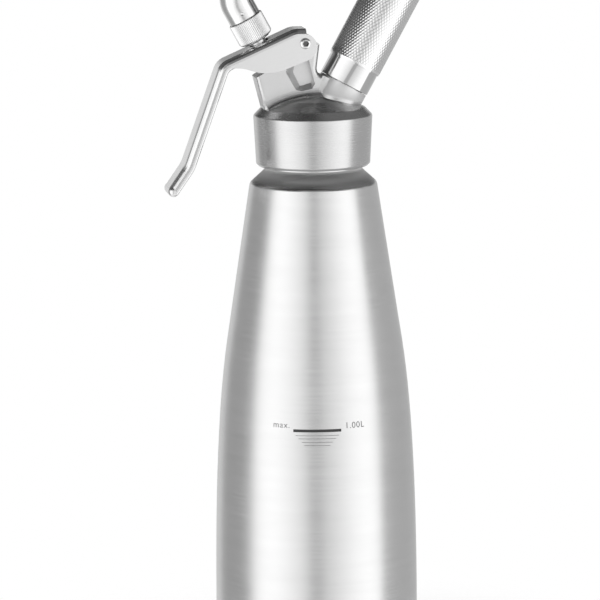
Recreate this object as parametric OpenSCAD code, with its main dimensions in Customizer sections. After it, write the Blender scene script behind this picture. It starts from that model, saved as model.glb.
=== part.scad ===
// Whipped cream dispenser for one litre: a steel bottle with a screw-on head, a squeeze lever that
// opens a leaning valve, an elbow spout with a star nozzle, and a holder for one gas charger.
// Millimetres. The centre of the base is the origin and +Z is up. The lever and the spout point
// to -X, the charger holder to +X, and the plane y = 0 splits the head in half.

/* [Bottle] */
// Outer diameter of the upright foot of the bottle
bottle_d = 100; // [94:0.5:106]
// Height of the shoulder corner above the base
shoulder_z = 253.5; // [245:0.5:275]
// Radius of the shoulder corner
shoulder_r = 31.2; // [30.4:0.1:33]
// Angle of the upper cone from upright
cone_angle = 8.7; // [7.8:0.1:9.6]
// Height where the cone starts to curve towards the foot
curve_top_z = 175; // [165:1:190]
// Height where the side becomes upright
curve_foot_z = 40; // [30:1:60]
// Radius of the rounded bottom edge
base_round = 7; // [4:0.5:10]
// Height of the recess pressed into the base
base_recess = 3; // [1.5:0.1:5]
// Thickness of the bottle's sheet
wall = 1; // [0.8:0.05:1.2]
// Outer radius of the neck below its thread
neck_r = 23.6; // [23.3:0.05:24]
// Inner radius of the neck
neck_bore_r = 22; // [21.5:0.1:22.4]
// Height of the sloping shoulder between the body and the neck
shoulder_rise = 7; // [6:0.1:8.5]

/* [Head] */
// Gap between the shoulder's top and the head ring
ring_gap = 1.6; // [1:0.1:3]
// Height of the head ring up to its bevelled edge
ring_h = 24.6; // [23.5:0.1:26]
// Radius of the head ring at its bottom edge
ring_foot_r = 27.9; // [27.5:0.1:28.5]
// Radius of the head ring at its top edge
ring_top_r = 29.1; // [28.6:0.1:30]
// Height of the casting's low dome above the ring
dome_h = 10; // [9:0.1:11]
// Lean of the valve and spout from upright
valve_tilt = 28.5; // [27:0.1:30]
// Lean of the charger holder from upright
charge_tilt = 29; // [28:0.1:31]
// Thickness of the casting's web and valve boss
web_t = 15.2; // [14.6:0.1:15.4]
// Distance along the valve's axis from the crossing of the two axes to the valve boss's top
valve_boss_s = 42.1; // [41.6:0.1:42.6]
// The same distance for the charger boss
charge_boss_s = 31.6; // [31:0.1:32.5]
// Radius of the charger boss
charge_boss_r = 12.4; // [12:0.1:12.6]

/* [Lever] */
// Outer width of the lever
lever_w = 20; // [19.8:0.1:22]
// Thickness of the lever's sheet
lever_t = 1.8; // [1.5:0.05:1.8]
// Depth of the lever's folded sides along the handle
lever_depth = 5.2; // [5:0.1:6]
// Radius of the lever's long outer edges
lever_edge_r = 3.4; // [2.6:0.1:3.7]
// Length of the handle from the fold to the kink
handle_l = 52.4; // [44:0.2:60]
// Length of the handle beyond the kink
tip_l = 13.4; // [10:0.2:18]
// Lean of the handle from upright
handle_lean = 20; // [16:0.5:24]
// Outward turn of the handle's tip at the kink
kink = 15; // [8:0.5:22]

/* [Valve and spout] */
// Radius of the hollow valve stem
stem_r = 4; // [3.8:0.05:4.1]
// Radius of the stem's passage
stem_bore_r = 2.6; // [2.2:0.1:2.8]
// Coils in the return spring
spring_coils = 6; // [5:0.5:8]
// Radius of the spring's wire
wire_r = 0.5; // [0.4:0.05:0.6]
// Radius of the knurled spout nut
spout_nut_r = 8.7; // [8.5:0.05:9.2]
// Length of the spout nut
spout_nut_l = 11.2; // [11:0.1:12]
// Ribs of the straight knurl round the spout nut
knurl_ribs = 60; // [40:2:80]
// Radius of the spout tube
spout_r = 8; // [7.8:0.05:8.2]
// Upright length of the spout tube between its elbow and its thread
spout_rise = 8; // [6:0.5:20]
// Height of the star nozzle
nozzle_h = 36; // [32:0.5:48]
// Points of the nozzle's star
star_points = 8; // [6:1:10]

/* [Charger holder] */
// Radius of the smooth band at the holder's mouth
band_r = 12.7; // [12.5:0.05:13]
// Radius of the knurled grip
grip_r = 13.4; // [13.2:0.05:13.8]
// Length of the smooth band
band_l = 11.1; // [10.5:0.1:11.6]
// Length of the gas charger with its neck
charger_l = 65.8; // [64:0.2:68]
// Radius of the gas charger's body
charger_r = 9; // [8.9:0.05:9.1]
// Thickness of the holder's closed end
holder_end = 3.5; // [2.5:0.1:5]

/* [Hidden] */
$fn = 96;

// Clearances: run for a piece that turns or slides in another, seat for a piece that is pressed on.
run = 0.06;
seat = 0.02;

// Bottle.
foot_r = bottle_d / 2;
curve_top_r = shoulder_r + (shoulder_z - curve_top_z) * tan(cone_angle);
knee_z = curve_top_z - (foot_r - curve_top_r) / tan(cone_angle);
neck_foot_z = shoulder_z + shoulder_rise;
thread_r = neck_r + 1;

// Head.
ring_z = neck_foot_z + ring_gap;
rim_z = ring_z + 18.5;
seal_h = 2.2;
ceiling_z = rim_z + seal_h + 2 * seat;
recess_z = ceiling_z + 3.2;
recess_r = 19.5;
head_bore_r = thread_r + run;
ring_top_z = ring_z + ring_h;
bevel_r = ring_top_r - 3.5;
bevel_z = ring_top_z + 3.6;
dome_z = ring_top_z + dome_h;
meet_z = ring_z + 11.7;
half_web = web_t / 2;
chamber_r = 7;
seat_s = 24;
pocket_s = 31;
pocket_r = 6;

// Lever, given from its pin: the pin sits pin_s along the valve's axis and pin_t to its right.
pin_s = 45.1;
pin_t = 18.9;
pin = valve_point(pin_s, pin_t);
half_lever = lever_w / 2;
sleeve_r = 3.2;
shank_r = 1.98;
plate_slope = valve_tilt - 5;
top_rise = 7;
plate_l = 39.7;
plate_s = 53.2;

// Valve and spout, all along the valve's axis.
foot_s = 18.5;
seal_s = 20.5;
thrust_s = 47;
fitting_s = 56.9;
stem_top_s = 64.4;
fitting_r = 7.1;
spout_nut_s = 57.6;
lip_s = spout_nut_s + spout_nut_l - 1.5;
flange_s = stem_top_s + 1.4 + 2 * seat;
shoulder_s = spout_nut_s + spout_nut_l + 0.1;
elbow_s = shoulder_s + 6.9;
elbow_r = spout_r + 0.3;
elbow = valve_point(elbow_s, elbow_r);
spout_x = elbow.x - elbow_r;
spout_top_z = elbow.y + spout_rise;
spout_thread_r = 7.2;
nozzle_z = spout_top_z + 0.3;

// Charger and holder, all along the charger's axis.
nipple_r = 10;
stub_r = 6;
stub_l = 10;
nipple_top_s = charge_boss_s + 11.4;
cup_s = charge_boss_s + 5;
gasket_s = cup_s + seat;
cap_s = gasket_s + 1.6 + seat;
charger_end_s = cap_s + charger_l;
holder_s = charge_boss_s + 0.3;
holder_bore_r = charger_r + 0.35;
pad_l = 2.4;
holder_top_s = charger_end_s + 2 * seat + pad_l + holder_end;

// ---- Points and profiles -------------------------------------------------------------------

// A point in the plane y = 0, as [x, z], s along a leaning axis and t square to it, to the right.
function valve_point(s, t = 0) = [
    t * cos(valve_tilt) - s * sin(valve_tilt),
    meet_z + s * cos(valve_tilt) + t * sin(valve_tilt)
];
function charge_point(s, t = 0) = [
    s * sin(charge_tilt) + t * cos(charge_tilt),
    meet_z + s * cos(charge_tilt) - t * sin(charge_tilt)
];

// A corner b between the points a and c, rounded to the radius r with n chords.
function corner(a, b, c, r, n) =
    r == 0 ? [b] :
    let (u = (a - b) / norm(a - b), v = (c - b) / norm(c - b))
    let (half = acos(u * v) / 2, turn = 180 - 2 * half)
    let (centre = b + (u + v) / norm(u + v) * r / sin(half))
    let (p = b + u * r / tan(half) - centre, q = b + v * r / tan(half) - centre)
    [for (i = [0:n]) centre + (sin(turn * (1 - i / n)) * p + sin(turn * i / n) * q) / sin(turn)];

// A closed outline of [x, y, radius] points with its corners rounded.
function smooth(path, n = 6) = [
    for (i = [0:len(path) - 1])
        let (a = path[(i + len(path) - 1) % len(path)], b = path[i], c = path[(i + 1) % len(path)])
        each corner([a.x, a.y], [b.x, b.y], [c.x, c.y], len(b) > 2 ? b[2] : 0, n)
];

// A quadratic curve from a to c that leaves a and reaches c along the lines to b.
function curve(a, b, c, n) = [
    for (i = [0:n]) let (t = i / n) (1 - t) ^ 2 * a + 2 * t * (1 - t) * b + t ^ 2 * c
];

// The space between a corner and an arc of radius r in it, reaching e past both sides. One side is
// the x axis and the other the y axis, or a line that falls away from it by the slope.
function nook(r, e, slope = 0) =
    let (arc = corner([r, 0], [0, 0], [-slope * r, r], r, 8))
    concat([[-e, -e], [arc[0].x, -e]], arc, [arc[8] - [e, 0]]);

// ---- Placing -------------------------------------------------------------------------------

module at_valve(s = 0, t = 0) {
    translate([0, 0, meet_z]) rotate([0, -valve_tilt, 0]) translate([t, 0, s]) children();
}

module at_charge(s = 0, t = 0) {
    translate([0, 0, meet_z]) rotate([0, charge_tilt, 0]) translate([t, 0, s]) children();
}

// A flat plate whose outline is drawn as [x, z] and which reaches from y0 to y1.
module plate(points, y0, y1) {
    translate([0, y1, 0]) rotate([90, 0, 0]) linear_extrude(y1 - y0) polygon(points);
}

// A bore along y through the lever's pin.
module pin_bore(r, l) {
    translate([pin.x, 0, pin.y]) rotate([90, 0, 0]) cylinder(r = r, h = l, center = true);
}

module ring(outer, inner, h) {
    difference() {
        cylinder(r = outer, h = h);
        translate([0, 0, -1]) cylinder(r = inner, h = h + 2);
    }
}

// ---- Bottle --------------------------------------------------------------------------------

module bottle() color("Silver") {
    body = curve([foot_r, curve_foot_z], [foot_r, knee_z], [curve_top_r, curve_top_z], 14);
    outer = concat(
        [[0, base_recess], [foot_r - 15, base_recess - 0.6, 2], [foot_r - 12.5, 0, 1.2]],
        [[foot_r, 0, base_round]],
        body,
        [[shoulder_r, shoulder_z, 3], [neck_r, neck_foot_z, 2.5], [neck_r, ring_z + 3.2]],
        [[thread_r, ring_z + 4], [thread_r, rim_z - 2.4], [thread_r - 0.7, rim_z - 1.7]],
        [[thread_r - 0.7, rim_z, 0.8], [neck_bore_r, rim_z, 0.8]]
    );
    inner = concat(
        [[neck_bore_r, neck_foot_z - 0.6, 3.5], [shoulder_r - 1.1 * wall, shoulder_z - 0.6 * wall, 2]],
        [for (i = [len(body) - 1:-1:0]) body[i] - [wall, 0]],
        [[foot_r - wall, wall, base_round - wall], [foot_r - 12.2, wall, 1]],
        [[foot_r - 14.7, base_recess + wall - 0.6, 2], [0, base_recess + wall]]
    );
    rotate_extrude($fn = 180) polygon(smooth(concat(outer, inner), 5));
}

// ---- Head ----------------------------------------------------------------------------------

// The turned part: the ring, its bevel and the low dome.
module head_turned() {
    rotate_extrude($fn = 144) polygon(smooth([
        [0, ring_z], [ring_foot_r - 1.2, ring_z], [ring_foot_r, ring_z + 1.2, 0.8],
        [ring_top_r, ring_top_z, 1.6], [bevel_r, bevel_z, 3], [bevel_r - 9, dome_z - 2.4, 12],
        [bevel_r - 17, dome_z, 8], [0, dome_z]
    ]));
}

// The hollow inside the ring, which takes the neck, the seal and the two valves.
module head_hollow() {
    rotate_extrude($fn = 144) polygon([
        [0, ring_z - 1], [head_bore_r + 0.8, ring_z - 1], [head_bore_r + 0.8, ring_z],
        [head_bore_r, ring_z + 0.8], [head_bore_r, ceiling_z], [recess_r, ceiling_z],
        [recess_r, recess_z], [0, recess_z]
    ]);
}

// The valve boss leans less than the valve, and its top is square to the valve's axis.
module valve_boss() {
    lean = valve_tilt / 2;
    w = 18;
    difference() {
        translate([-11.4, 0, meet_z]) rotate([0, -lean, 0]) translate([0, 0, 13]) linear_extrude(40)
            polygon(smooth([[-w / 2, -half_web, 2], [w / 2, -half_web, 2],
                [w / 2, half_web, 2], [-w / 2, half_web, 2]]));
        at_valve(valve_boss_s) translate([-30, -30, 0]) cube([60, 60, 30]);
    }
    // The rim round the spring's pocket.
    at_valve(valve_boss_s - 1) cylinder(r = 7.1, h = 1.6);
}

// The charger boss is trimmed to the width of the dome.
module charge_boss() {
    intersection() {
        at_charge(8) cylinder(r = charge_boss_r, h = charge_boss_s - 8);
        translate([0, 0, ring_z]) cylinder(r = bevel_r + 0.4, h = 60);
    }
}

// A point of an outline, given from the lever's pin, with the radius of its corner.
function from_pin(x, z, r = 0) = [pin.x + x, pin.y + z, r];

// The upright web that carries the lever's pin and ties the two bosses together. Its ear runs down
// behind the pin to a rounded foot at the charger boss.
ear_top = from_pin(7.6, -0.9, 1.6);
ear_foot = [pin.x + 5.6, charge_point(charge_boss_s, -charge_boss_r).y - 1, 3.6];
ear_end = charge_point(charge_boss_s - 0.9, -charge_boss_r + 0.9);
web_outline = smooth([
    valve_point(valve_boss_s - 3, 2), valve_point(valve_boss_s, 8.7), from_pin(-4.6, 0, 1),
    from_pin(-4.4, 4.6, 4.2), from_pin(1.4, 4.6, 2), from_pin(4.4, 1.4, 2), ear_top, ear_foot,
    ear_end, charge_point(charge_boss_s - 0.9, 0), [14, bevel_z - 2], [-15, bevel_z - 2]
]);

module web() {
    difference() {
        plate(web_outline, -half_web, half_web);
        ear_rounding();
        mirror([0, 1, 0]) ear_rounding();
    }
}

// The rounding of one of the ear's edges, down its straight side and round its foot. The second
// cut is a hair shallower and reaches into the first.
module ear_rounding() {
    r = 2.4;
    nest = 0.02;
    foot = [ear_foot.x, ear_foot.y];
    rise = [ear_top.x, ear_top.y] - foot;
    up = rise / norm(rise);
    along = (ear_end - foot) / norm(ear_end - foot);
    half = acos(up * along) / 2;
    back = ear_foot[2] / tan(half);
    centre = foot + (up + along) / norm(up + along) * ear_foot[2] / sin(half);
    start = foot + along * back - centre;
    translate([foot.x, -half_web, foot.y]) rotate([0, atan2(up.x, up.y), 0])
        translate([0, 0, back - 0.3]) linear_extrude(norm(rise) - back)
            polygon([for (p = nook(r, 1)) [-p.x, p.y]]);
    translate([centre.x, -half_web, centre.y]) rotate([-90, 0, 0])
        rotate([0, 0, atan2(-start.y, start.x)]) rotate_extrude(angle = 180 - 2 * half)
            polygon([for (p = nook(r, 1)) p + [ear_foot[2] - nest, -nest]]);
}

// The recess in one side of the web, with sloping walls.
module web_pocket() {
    rim = [
        from_pin(-9.3, -14.2), from_pin(-7.5, -5), from_pin(1.2, -5), from_pin(1.7, -8.2),
        from_pin(4.3, -17.5), from_pin(4.9, -19.9), from_pin(3.4, -22.3), from_pin(-2, -23.4),
        from_pin(-4.5, -22.6)
    ];
    floor = [
        from_pin(-5.2, -14.4), from_pin(-3.4, -5), from_pin(1, -5), from_pin(1.5, -9.5),
        from_pin(4.1, -17.6), from_pin(3.4, -19.8), from_pin(-1.9, -21.2), from_pin(-3.8, -17.2)
    ];
    hull() {
        plate(smooth(rim), -half_web - 0.2, -half_web);
        plate(smooth(floor), -half_web + 3.9, -half_web + 4);
    }
}

// The fillet between one face of the web and the dome, whose crown is nearly round.
module dome_fillet() {
    crown_r = 46;
    sink = 0.05;
    translate([0, sink - half_web, dome_z + 0.15 - crown_r]) rotate([90, 0, 0])
        rotate([0, 0, 80]) rotate_extrude(angle = 40)
            polygon([for (p = nook(6, 1, 0.3)) [crown_r + p.x, p.y]]);
}

// The fillet between one face of the web and the round side of the charger boss.
module boss_fillet() {
    r = 6;
    sink = 0.05;
    y = -half_web - r;
    t = -sqrt((charge_boss_r + r) ^ 2 - y ^ 2);
    touch = [t, y] * charge_boss_r / (charge_boss_r + r);
    intersection() {
        at_charge(12) difference() {
            linear_extrude(charge_boss_s - 12)
                polygon([[t, 1 - half_web], [t, -half_web], touch, 0.85 * touch]);
            translate([t + sink, y + sink, -1]) cylinder(r = r, h = charge_boss_s);
        }
        plate(web_outline, 2 * y, 0);
    }
}

module head() color("LightGray") difference() {
    union() {
        head_turned();
        valve_boss();
        charge_boss();
        web();
        for (side = [0, 1]) mirror([0, side, 0]) {
            dome_fillet();
            boss_fillet();
        }
    }
    head_hollow();
    for (side = [0, 1]) mirror([0, side, 0]) web_pocket();
    pin_bore(sleeve_r + seat, web_t + 2);
    // The valve's chamber, the stem's guide and the spring's pocket.
    at_valve(5) cylinder(r = chamber_r, h = seat_s - 5);
    at_valve(seat_s - 1) cylinder(r = stem_r + run, h = pocket_s - seat_s + 2);
    at_valve(pocket_s) cylinder(r = pocket_r, h = 14);
    // The nipple's seat, the gas passage and the inlet valve's bore.
    at_charge(charge_boss_s - stub_l) cylinder(r = stub_r + seat, h = 20);
    at_charge(15) cylinder(r = 1.2, h = 12);
    at_charge(5) cylinder(r = 4, h = 14);
}

module head_seal() color("WhiteSmoke") {
    translate([0, 0, rim_z + seat]) rotate_extrude() polygon(smooth([
        [recess_r + 0.8, 0, 0.4], [head_bore_r - 0.3, 0, 0.4],
        [head_bore_r - 0.3, seal_h, 0.4], [recess_r + 0.8, seal_h, 0.4]
    ], 3));
}

// ---- Valve ---------------------------------------------------------------------------------

groove_s = 28.6;

module valve_stem() color("Silver") at_valve() difference() {
    foot_r = stem_r + 1;
    bevel = 0.6;
    union() {
        translate([0, 0, foot_s]) cylinder(r1 = foot_r - bevel, r2 = foot_r, h = bevel);
        translate([0, 0, foot_s + bevel]) cylinder(r = foot_r, h = seal_s - foot_s - bevel);
        translate([0, 0, foot_s + 1]) cylinder(r = stem_r, h = stem_top_s - foot_s - 1);
    }
    translate([0, 0, seal_s + 2.7]) cylinder(r = stem_bore_r, h = stem_top_s);
    for (a = [0, 90])
        rotate([0, 0, a + 45]) translate([0, 0, seat_s + 1.7]) rotate([90, 0, 0])
            cylinder(r = 1.2, h = 20, center = true);
    translate([0, 0, groove_s - 0.55]) ring(stem_r + 1, 3.05, 1.1);
}

module valve_seal() color("DimGray") at_valve(seal_s + seat) {
    rotate_extrude() polygon([
        [stem_r + seat, 0], [4.9, 0], [5.8, 1], [5.8, 2.9], [5.5, 3.4], [stem_r + seat, 3.4]
    ]);
}

module stem_o_ring() color("DimGray") at_valve(groove_s) {
    rotate_extrude() translate([3.55, 0]) circle(r = 0.47, $fn = 24);
}

// The nut on the stem that the lever bears on. Its crown lets the lever's plate rock.
module thrust_nut() color("Silver") at_valve(thrust_s) {
    crown = plate_s - thrust_s - 0.15;
    rotate_extrude() polygon([
        [stem_r + seat, 0], [5.9, 0], [6.4, 0.5], [6.4, crown - 0.75], [6, crown - 0.6],
        [5.2, crown - 0.4], [4.4, crown - 0.3], [stem_r + seat, crown - 0.3]
    ]);
}

// A coil of round wire whose end turns lie flat. Each ring of points is square to the wire's run.
module return_spring() color("Gray") at_valve(pocket_s + seat + wire_r) {
    coil_r = 5.2;
    h = thrust_s - pocket_s - 2 * seat - 2 * wire_r;
    turns = spring_coils + 2;
    steps = 20 * turns;
    sides = 10;
    pitch_turns = turns - 2;
    rings = [for (i = [0:steps])
        let (turn = i / 20, lift = h * min(max((turn - 1) / pitch_turns, 0), 1))
        let (end = 2 * wire_r * (turn < 1 ? turn - 1 : turn > turns - 1 ? turn - turns + 1 : 0))
        let (z = wire_r * 2 + end + lift * (h - 4 * wire_r) / h)
        [for (j = [0:sides - 1])
            let (a = 360 * turn, b = -360 * j / sides, r = coil_r + wire_r * cos(b))
            [r * cos(a), r * sin(a), z + wire_r * sin(b)]]
    ];
    points = [for (ring = rings) each ring];
    skin = [for (i = [0:steps - 1], j = [0:sides - 1])
        let (k = (j + 1) % sides)
        [i * sides + j, i * sides + k, (i + 1) * sides + k, (i + 1) * sides + j]
    ];
    first = [for (j = [sides - 1:-1:0]) j];
    last = [for (j = [0:sides - 1]) steps * sides + j];
    polyhedron(points, concat(skin, [first], [last]), convexity = 10);
}

// ---- Lever ---------------------------------------------------------------------------------

// The channel's section: x across the lever, y into its open side, with its faces set in by i.
function lever_section(i = 0) =
    let (w = half_lever - i, v = half_lever - lever_t + i, d = lever_depth - i, t = lever_t - i)
    let (rim_r = 0.6 * lever_t - i, lip_r = 0.25 * lever_t - i, root_r = lever_edge_r - lever_t + i)
    smooth([
        [-w, d, rim_r], [-w, i, lever_edge_r - i], [w, i, lever_edge_r - i], [w, d, rim_r],
        [v, d, lip_r], [v, t, root_r], [-v, t, root_r], [-v, d, lip_r]
    ], 5);

// One step of the channel after another: a straight run, a bend towards the open side of outer
// radius r, or a bend away from it. A run is a hair thinner than a bend and reaches into it.
module straight_run(l) {
    reach = 0.3;
    translate([0, 0, -reach]) linear_extrude(l + 2 * reach) polygon(lever_section(0.02));
    translate([0, 0, l]) children();
}

module bend_in(r, angle) {
    translate([0, r, 0]) rotate([90, 0, -90]) rotate_extrude(angle = angle)
        polygon([for (p = lever_section()) [r - p.y, p.x]]);
    translate([0, r, 0]) rotate([-angle, 0, 0]) translate([0, -r, 0]) children();
}

module bend_out(r, angle) {
    translate([0, -r, 0]) rotate([90, 0, 90]) rotate_extrude(angle = angle)
        polygon([for (p = lever_section()) [r + p.y, p.x]]);
    translate([0, -r, 0]) rotate([angle, 0, 0]) translate([0, r, 0]) children();
}

// The rounded bar that ends the handle, and the filling that closes the channel l back from it.
module lever_tip(l) {
    r = lever_depth / 2 + 0.1;
    w = half_lever - 0.7;
    translate([0, r, 0]) rotate([0, 90, 0]) rotate_extrude($fn = 48) polygon(smooth([
        [0, -half_lever], [r, -half_lever, r - 0.1], [r, half_lever, r - 0.1], [0, half_lever]
    ], 8));
    translate([0, 0, -l]) linear_extrude(l)
        polygon([[-w, 1.2], [w, 1.2], [w, lever_depth - 0.15], [-w, lever_depth - 0.15]]);
}

module lever_channel() {
    brow_r = 11;
    fold_r = 9;
    kink_r = 14;
    fold = 90 - plate_slope - handle_lean;
    brow = brow_r * tan(plate_slope / 2);
    bow = fold_r * tan(fold / 2);
    nod = kink_r * tan(kink / 2);
    translate([pin.x + 0.3, 0, pin.y + top_rise]) rotate([-90, 0, 90])
        straight_run(5.4 - brow)
        bend_in(brow_r, plate_slope)
        straight_run(plate_l - brow - bow)
        bend_in(fold_r, fold)
        straight_run(handle_l - bow - nod)
        bend_out(kink_r, kink)
        straight_run(tip_l - nod)
        lever_tip(tip_l - nod - 0.8);
}

// One deep side of the lever, drawn from the pin.
module lever_side() {
    brow_x = -5.1;
    slope = tan(plate_slope);
    top = function(x) top_rise + (x - brow_x) * slope - (lever_edge_r + 0.3) / cos(plate_slope);
    outline = [
        [-37.4, top(-37.4)], [-36, -11.2, 1], [-30.5, -11.4, 16], [-22, -14, 20], [-13.5, -13.8, 20],
        [2.9, -7.5, 5], [5.3, -4.2, 2.4], [5.3, 1.2, 3.6], [2.2, 4.4, 2.6], [-4, 3.9],
        [-6, top(-6)]
    ];
    plate([for (p = smooth(outline)) p + pin], 0.01 - half_lever, lever_t - half_lever - 0.01);
}

module lever() color("Gainsboro") difference() {
    union() {
        lever_channel();
        lever_side();
        mirror([0, 1, 0]) lever_side();
    }
    pin_bore(shank_r + run, lever_w + 2);
    // The slot that the stem passes through.
    at_valve(plate_s - 6) {
        translate([-0.3, 0, 0]) cylinder(r = stem_r + 0.5, h = 12);
        translate([1.7, 0, 0]) cylinder(r = stem_r + 0.5, h = 12);
        translate([-0.3, -stem_r - 0.5, 0]) cube([2, 2 * stem_r + 1, 12]);
    }
}

module lever_pin_sleeve() color("Silver") {
    difference() {
        pin_bore(sleeve_r, web_t + 0.4);
        pin_bore(shank_r + seat, web_t + 2);
    }
}

// Two equal shoulder screws, one from each side, with round heads and six-sided sockets.
module lever_pin_screws() color("Gainsboro") {
    for (side = [0, 180]) translate([pin.x, 0, pin.y]) rotate([0, 0, side]) rotate([90, 0, 0])
        difference() {
            union() {
                translate([0, 0, 1]) cylinder(r = shank_r, h = half_lever + 0.5);
                translate([0, 0, half_lever + 0.1]) rotate_extrude() polygon(smooth([
                    [0, 0], [2.75, 0, 0.2], [2.6, 1, 0.7], [1.7, 1.5, 1], [0, 1.6]
                ], 3));
            }
            translate([0, 0, half_lever - 0.4]) cylinder(r = 1.55, h = 4, $fn = 6);
        }
}

// ---- Spout ---------------------------------------------------------------------------------

// The threaded fitting on the stem's top that the spout nut screws onto.
module spout_fitting() color("Silver") at_valve(fitting_s) difference() {
    union() {
        cylinder(r1 = fitting_r - 0.5, r2 = fitting_r, h = 0.5);
        translate([0, 0, 0.5]) cylinder(r = fitting_r, h = stem_top_s - fitting_s - 0.9);
        translate([0, 0, stem_top_s - fitting_s - 0.4])
            cylinder(r1 = fitting_r, r2 = fitting_r - 0.4, h = 0.4);
    }
    translate([0, 0, -1]) cylinder(r = stem_r + seat, h = 12);
}

module spout_seal() color("DimGray") at_valve(stem_top_s + seat) ring(6.4, 3.3, 1.4);

// The polished elbow: a flange held by the nut, a leaning length, the bend and the upright end.
module spout_tube() color("Gainsboro") {
    tube_wall = 1.1;
    thread_l = 9;
    reach = 0.3;
    difference() {
        union() {
            at_valve(flange_s) cylinder(r = 6.6, h = lip_s - flange_s - seat);
            at_valve(flange_s) cylinder(r = 5.5, h = shoulder_s - flange_s + 1);
            at_valve(shoulder_s) cylinder(r1 = spout_r - 0.5, r2 = spout_r, h = 0.5);
            at_valve(shoulder_s + 0.5)
                cylinder(r = spout_r, h = elbow_s - shoulder_s - 0.5 + reach);
            spout_bend(spout_r);
            translate([spout_x, 0, elbow.y - reach])
                cylinder(r = spout_r, h = spout_rise - 0.4 + reach);
            translate([spout_x, 0, spout_top_z - 0.4])
                cylinder(r1 = spout_r, r2 = spout_r - 0.4, h = 0.4);
            translate([spout_x, 0, spout_top_z - 1]) cylinder(r = spout_thread_r, h = thread_l + 1);
        }
        at_valve(flange_s - 1) cylinder(r = 4.4, h = 8);
        at_valve(shoulder_s + 1.2)
            cylinder(r = spout_r - tube_wall, h = elbow_s - shoulder_s - 1.2 + reach);
        spout_bend(spout_r - tube_wall);
        translate([spout_x, 0, elbow.y - reach])
            cylinder(r = spout_r - tube_wall, h = spout_rise - 1.6 + reach);
        translate([spout_x, 0, elbow.y]) cylinder(r = 6, h = spout_rise + thread_l + 2);
        // The small dimple pressed into the tube above the nut.
        at_valve(shoulder_s + 3.7, -0.9) translate([0, -spout_r - 0.45, 0]) sphere(r = 1.1, $fn = 24);
    }
}

// The bend is a hair thicker than the straight lengths that reach into it.
module spout_bend(r) {
    at_valve(elbow_s, elbow_r) rotate([90, 0, 180]) rotate_extrude(angle = valve_tilt)
        translate([elbow_r, 0]) circle(r = r + 0.01);
}

// The knurled nut: ribs along its side, a rounded lower edge and a lip over the tube's flange.
module spout_nut() color("Gainsboro") at_valve(spout_nut_s) {
    depth = 0.3;
    ribs = [for (i = [0:knurl_ribs - 1]) each
        [for (k = [0, 1])
            let (a = 360 * (i + k / 2) / knurl_ribs, r = spout_nut_r - depth * k)
            r * [cos(a), sin(a)]]
    ];
    difference() {
        intersection() {
            linear_extrude(spout_nut_l) polygon(ribs);
            rotate_extrude() polygon(smooth([
                [0, 0], [spout_nut_r - 0.7, 0, 0.3], [spout_nut_r, 0.9, 0.6],
                [spout_nut_r, spout_nut_l - 0.3], [spout_nut_r - 0.3, spout_nut_l], [0, spout_nut_l]
            ]));
        }
        translate([0, 0, -1]) cylinder(r = fitting_r + run, h = flange_s - spout_nut_s + 1);
        translate([0, 0, 1]) cylinder(r = 6.8, h = lip_s - spout_nut_s - 1);
        translate([0, 0, 1]) cylinder(r = 5.6, h = spout_nut_l);
    }
}

// The star nozzle: a ridged collar, a cone and a mouth cut into points.
module nozzle_tip() color("Gainsboro") translate([spout_x, 0, nozzle_z]) {
    collar_r = 9.3;
    collar_h = 9.6;
    mouth_r = 4.4;
    shell = 1;
    difference() {
        rotate_extrude() polygon(smooth([
            [spout_thread_r + run, 0], [collar_r - 0.4, 0], [collar_r, 0.4],
            [collar_r, collar_h - 0.8, 0.5], [spout_r + 0.4, collar_h, 0.4],
            [spout_r - 0.2, collar_h + 1, 0.8], [mouth_r + 0.4, nozzle_h - 2, 3],
            [mouth_r, nozzle_h, 0.2], [mouth_r - shell, nozzle_h, 0.2],
            [mouth_r + 0.4 - shell, nozzle_h - 2.2, 2], [spout_r - 0.4 - shell, collar_h + 1.2, 0.8],
            [spout_thread_r + run, collar_h - 0.2]
        ], 4));
        for (i = [0:star_points - 1]) rotate([0, 0, 360 * i / star_points])
            translate([0, 0, nozzle_h - 9]) rotate([90, 0, 90]) linear_extrude(12)
                polygon([[0, 0], [1.25, 9.5], [-1.25, 9.5]]);
        for (i = [0:23]) rotate([0, 0, 15 * i]) translate([collar_r + 0.45, 0, 1.4])
            cylinder(r = 0.7, h = collar_h - 3.4, $fn = 16);
    }
}

// ---- Charger holder ------------------------------------------------------------------------

module charger_holder() color("Gainsboro") at_charge(holder_s) {
    l = holder_top_s - holder_s;
    rotate_extrude($fn = 120) polygon(smooth([
        [nipple_r + run + 0.5, 0], [band_r - 0.3, 0], [band_r, 0.3], [band_r, band_l - 0.3],
        [grip_r - 0.4, band_l - 0.3], [grip_r, band_l + 0.2], [grip_r, l, 3], [0, l],
        [0, l - holder_end], [holder_bore_r, l - holder_end, 1], [holder_bore_r, 13.4],
        [nipple_r + run, 12.4], [nipple_r + run, 0.5]
    ]));
}

module holder_pad() color("DimGray") at_charge(charger_end_s + seat) {
    difference() {
        cylinder(r = holder_bore_r - 1, h = pad_l);
        translate([0, 0, -1]) cylinder(r = 3, h = pad_l + 2);
    }
}

// A steel charger, neck down, with its neck open into its hollow.
module gas_charger() color("Silver") at_charge(cap_s) {
    sheet = 1.4;
    neck = 4.4;
    rotate_extrude() polygon(smooth([
        [2.1, 0.4], [neck, 0.4, 0.5], [neck, 6.6, 2], [charger_r, 14.5, 6],
        [charger_r, charger_l, 7.5], [0, charger_l], [0, charger_l - sheet],
        [charger_r - sheet, charger_l - sheet, 6], [charger_r - sheet, 15, 6],
        [neck - sheet + 0.3, 8, 2], [2.1, 6.4]
    ], 8));
}

// The thin cap crimped over the charger's neck, shown pierced by the pin.
module charger_seal_cap() color("DarkGray") at_charge(cap_s) ring(3.7, 1.25, 0.38);

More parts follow.
